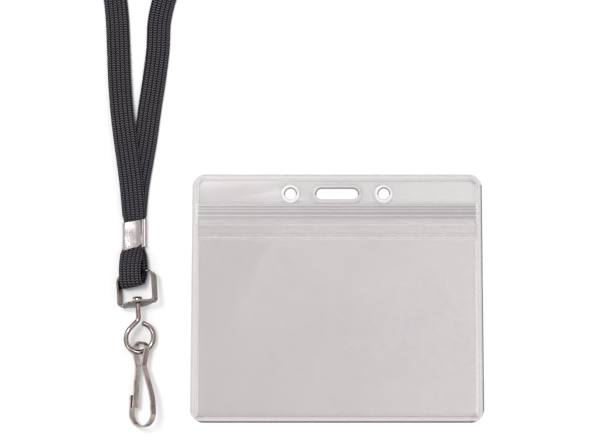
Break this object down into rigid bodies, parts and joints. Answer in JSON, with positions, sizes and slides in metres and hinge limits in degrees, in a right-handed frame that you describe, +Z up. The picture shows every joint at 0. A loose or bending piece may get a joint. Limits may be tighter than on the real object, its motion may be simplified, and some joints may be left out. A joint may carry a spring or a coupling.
{
  "type": "lanyard badge holder",
  "caption": "Clear soft vinyl badge pouch with a press-to-close zip, beside a flat braided neck strap that ends in a crimp, a swivel and a flat spring hook.",
  "frame": {"origin": "centre of the clear holder's back face, which lies on the table", "axes": "+Z up out of the table through the holder's front, +Y towards the header and up the strap, +X to the holder's right"},
  "size_m": [0.1659, 0.2987, 0.0129],
  "materials": {
    "vinyl": "clear soft vinyl film, glossy, faintly grey",
    "vinyl_weld": "welded or ribbed clear vinyl",
    "braid": "flat tubular polyester braid",
    "tie": "soft matte tie",
    "crimp_nickel": "bright nickel plate",
    "nickel": "nickel-plated steel"
  },
  "bodies": {
    "holder": {"back_panel": "vinyl", "edge_weld": "vinyl_weld", "front_panel": "vinyl", "header_layer": "vinyl", "zip_groove": "vinyl_weld"},
    "mouth_lip": {"front_lip": "vinyl", "zip_rib": "vinyl_weld"},
    "lanyard": {"strap_left": "braid", "strap_right": "braid", "strap_hank": "braid", "hank_tie": "tie", "strap_loop": "braid", "crimp": "crimp_nickel"},
    "bracket": {"swivel_bracket": "nickel"},
    "swivel": {"swivel_eye": "nickel"},
    "hook": {"hook_body": "nickel"},
    "gate": {"hook_gate": "nickel"}
  },
  "joints": [
    {"name": "mouth_open", "type": "hinge", "parent": "holder", "child": "mouth_lip", "pos_m": [0, 0.0236, 0.0011], "axis": [1, 0, 0], "range_deg": [0, 40], "stiffness_Nm_per_rad": 0.005},
    {"name": "lanyard_slide", "type": "slide", "parent": "holder", "child": "lanyard", "axis": [-1, 0, 0], "range_m": [0, 0.06]},
    {"name": "bracket_swing", "type": "hinge", "parent": "lanyard", "child": "bracket", "pos_m": [-0.079, 0.0102, 0.0044], "axis": [0.9192, 0.1954, 0.342], "range_deg": [-35, 45]},
    {"name": "swivel_spin", "type": "hinge", "parent": "bracket", "child": "swivel", "pos_m": [-0.07798, -0.00169, 0.00845], "axis": [0.043, -0.9839, -0.1736], "continuous": true},
    {"name": "hook_swing", "type": "hinge", "parent": "swivel", "child": "hook", "pos_m": [-0.07715, -0.02079, 0.00508], "axis": [0.9022, 0.1128, -0.4162], "range_deg": [-30, 30]},
    {"name": "gate_flex", "type": "hinge", "parent": "hook", "child": "gate", "pos_m": [-0.07812, -0.02629, 0.00505], "axis": [-0.5629, 0.0958, 0.821], "range_deg": [0, 12], "stiffness_Nm_per_rad": 0.3}
  ]
}
